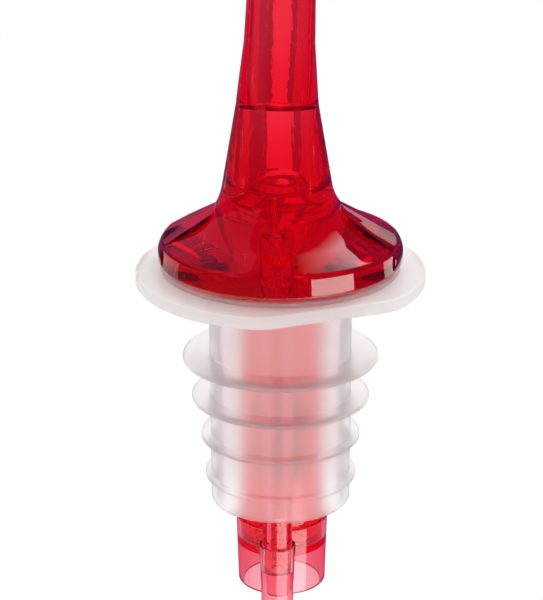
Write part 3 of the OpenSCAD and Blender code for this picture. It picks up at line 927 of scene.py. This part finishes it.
# Cards round the set shape what the smooth clear plastic shows, and are plain white to all else. Upright
# ones are seen through it: dark beside the bright gap behind the neck, and paler at the sides. A dark room
# with a dim side, a soft panel, a strip and sheets on the floor are seen in its gloss.
CARD_R = 0.13
CARD_H = 0.36
CARD_STEPS = 180
DARK_CARD = 0.46
PALE_CARD = 0.75
ROOM_R = 1.2
ROOM_GAP = 0.05
ROOM_SEGMENTS = 64
ROOM_RINGS = 32
ROOM_SPLIT = (-0.86, 0.365, -0.357)
DIM_LOW_Z = 0.3
DIM_BLUE = (0.6, 0.35, 0.9, 1.0)
DARK_BLUE = (0.5, 0.12, 0.75, 1.0)
SOFT_R = 0.3
SOFT_STEPS = 64
SOFT_PLACE = (0.25, 0.47, 0.55)
SOFT_CUT_MM = (222, 518, 550)
SOFT_CUT_NORMAL = (0.38, 0.925, 0)
PALE_PINK = (1.0, 0.85, 0.95, 1.0)
CREST_PLACE = (0.36, 0.82, 0.29)
CREST_SIZE = (0.3, 0.04, 1)
SHEET_LEVEL = 0.2
SHEET_MIDDLE_R = 0.001
LOW_LIFT = 0.0005
HIGH_LIFT = 0.001
LIGHT_BOUNCES = 40


def card(piece, name, level, through, colour=PLAIN_WHITE, fade=None):
    """Makes a piece of the set glow at a level for smooth clear plastic, in gloss or seen through it."""
    piece.name = name
    material, shader, output, place = new_material(name)
    nodes, links = material.node_tree.nodes, material.node_tree.links
    glow = nodes.new("ShaderNodeEmission")
    path = nodes.new("ShaderNodeLightPath")
    shade = nodes.new("ShaderNodeMapRange")
    shade.inputs["To Min"].default_value = 1.0
    shade.inputs["To Max"].default_value = level
    links.new(path.outputs["Is Singular Ray"], shade.inputs["Value"])
    if fade:
        reach = nodes.new("ShaderNodeVectorMath")
        reach.operation = "LENGTH"
        fall = rise(nodes, low=0.0, high=fade)
        fall.inputs["To Min"].default_value = level
        fall.inputs["To Max"].default_value = 0.0
        links.new(place.outputs["Object"], reach.inputs[0])
        links.new(reach.outputs["Value"], fall.inputs["Value"])
        links.new(fall.outputs["Result"], shade.inputs["To Max"])
    links.new(shade.outputs["Result"], glow.inputs["Strength"])
    tone = nodes.new("ShaderNodeMix")
    tone.data_type = "RGBA"
    tone.inputs["A"].default_value = PLAIN_WHITE
    tone.inputs["B"].default_value = colour
    links.new(path.outputs["Is Singular Ray"], tone.inputs["Factor"])
    links.new(tone.outputs["Result"], glow.inputs["Color"])
    links.new(glow.outputs["Emission"], output.inputs["Surface"])
    material.cycles.emission_sampling = "NONE"
    piece.data.materials.append(material)
    piece.visible_camera = False
    piece.visible_diffuse = False
    piece.visible_shadow = False
    piece.visible_glossy = not through
    piece.visible_transmission = through


def keep_between(piece, first, last, start):
    """Keeps faces between two angles in degrees, from the back (start 1) or front (-1) to the right."""
    bpy.ops.object.mode_set(mode="EDIT")
    bpy.ops.mesh.select_all(action="DESELECT")
    bpy.ops.object.mode_set(mode="OBJECT")
    for face in piece.data.polygons:
        face.select = not first < math.degrees(math.atan2(face.center.x, start * face.center.y)) < last
    bpy.ops.object.mode_set(mode="EDIT")
    bpy.ops.mesh.delete(type="FACE")
    bpy.ops.object.mode_set(mode="OBJECT")


def upright_card(name, level, first, last):
    """A curved card on the floor, between two angles in degrees from the back towards the right."""
    bpy.ops.object.select_all(action="DESELECT")
    bpy.ops.mesh.primitive_cylinder_add(vertices=CARD_STEPS, radius=CARD_R, depth=CARD_H,
                                        end_fill_type="NOTHING", location=(0, 0, floor_z + CARD_H / 2))
    piece = bpy.context.object
    keep_between(piece, first, last, start=1)
    card(piece, name, level, through=True)


def floor_sheet(name, level, near, far, first, last, lift=HIGH_LIFT, colour=PLAIN_WHITE):
    """A sheet over the floor from near to far, between two angles from the front towards the right."""
    middle = (0, 0, floor_z + lift)
    bpy.ops.object.select_all(action="DESELECT")
    bpy.ops.mesh.primitive_circle_add(vertices=CARD_STEPS, radius=near, fill_type="NOTHING",
                                      location=middle)
    piece = bpy.context.object
    bpy.ops.object.mode_set(mode="EDIT")
    bpy.ops.mesh.select_all(action="SELECT")
    bpy.ops.mesh.extrude_edges_move()
    bpy.ops.transform.resize(value=(far / near, far / near, 1), center_override=middle)
    keep_between(piece, first, last, start=-1)
    card(piece, name, level, through=False, colour=colour)


def room(radius):
    """A sphere round the whole set."""
    bpy.ops.object.select_all(action="DESELECT")
    bpy.ops.mesh.primitive_uv_sphere_add(segments=ROOM_SEGMENTS, ring_count=ROOM_RINGS, radius=radius,
                                         location=(0, 0, 0))
    return bpy.context.object


upright_card("left_dark_card", DARK_CARD, first=-43, last=-10)
upright_card("right_dark_card", DARK_CARD, first=7, last=16)
upright_card("left_pale_card", PALE_CARD, first=-181, last=-43)
upright_card("right_pale_card", PALE_CARD, first=16, last=181)
card(room(ROOM_R + ROOM_GAP), "dark_room", level=0.22, through=False, colour=DARK_BLUE)
dim_room = room(ROOM_R)
bpy.ops.object.mode_set(mode="EDIT")
for point, normal in (((0, 0, 0), ROOM_SPLIT), ((0, 0, DIM_LOW_Z), (0, 0, 1))):
    bpy.ops.mesh.select_all(action="SELECT")
    bpy.ops.mesh.bisect(plane_co=point, plane_no=normal, clear_inner=True)
bpy.ops.object.mode_set(mode="OBJECT")
card(dim_room, "dim_room", level=0.4, through=False, colour=DIM_BLUE)
bpy.ops.object.select_all(action="DESELECT")
bpy.ops.mesh.primitive_circle_add(vertices=SOFT_STEPS, radius=SOFT_R, fill_type="NGON",
                                  location=SOFT_PLACE)
soft_panel = bpy.context.object
bpy.ops.object.mode_set(mode="EDIT")
cut_away(SOFT_CUT_MM, SOFT_CUT_NORMAL)
bpy.ops.object.mode_set(mode="OBJECT")
card(soft_panel, "soft_panel", level=4.5, through=False, colour=PALE_PINK, fade=SOFT_R)
bpy.ops.object.select_all(action="DESELECT")
bpy.ops.mesh.primitive_plane_add(size=1, location=CREST_PLACE)
bpy.ops.transform.resize(value=CREST_SIZE)
bpy.ops.transform.rotate(value=math.pi / 2, orient_axis="X")
card(bpy.context.object, "crest_strip", level=1.2, through=False)
floor_sheet("dim_sheet", SHEET_LEVEL, SHEET_MIDDLE_R, ROOM_R, -181, 0, LOW_LIFT, DIM_BLUE)
floor_sheet("dark_sheet", SHEET_LEVEL, SHEET_MIDDLE_R, ROOM_R, 0, 181, LOW_LIFT, DARK_BLUE)
floor_sheet("far_sheet", 7.0, near=0.36, far=0.62, first=32.8, last=74.3)
floor_sheet("left_sheet", 0.8, near=0.2, far=0.36, first=-140, last=-105)
floor_sheet("back_sheet", 2.5, near=0.2, far=0.36, first=113, last=136)
floor_sheet("near_sheet", 5.0, near=0.03, far=0.14, first=3, last=70)
scene.cycles.max_bounces = LIGHT_BOUNCES
scene.cycles.transmission_bounces = LIGHT_BOUNCES
scene.cycles.glossy_bounces = LIGHT_BOUNCES
scene.cycles.diffuse_bounces = LIGHT_BOUNCES


# The camera stands on the vent's side and looks down at the collar with a long lens. A small shift
# sets the frame.
CAMERA_TURN = math.radians(4)
CAMERA_BACK = 260
CAMERA_Z = 94.31
CAMERA_PITCH = math.radians(20.5)
camera_data = bpy.data.cameras.new("camera")
camera_data.lens = 135.6
camera_data.sensor_width = 36
camera_data.shift_x = -0.015
camera_data.shift_y = 0.0023
camera_data.clip_start = 0.01
camera = bpy.data.objects.new("camera", camera_data)
camera.location = (CAMERA_BACK * math.sin(CAMERA_TURN) * MM, -CAMERA_BACK * math.cos(CAMERA_TURN) * MM,
                   CAMERA_Z * MM)
camera.rotation_euler = (math.pi / 2 - CAMERA_PITCH, 0, CAMERA_TURN)
scene.collection.objects.link(camera)
scene.camera = camera
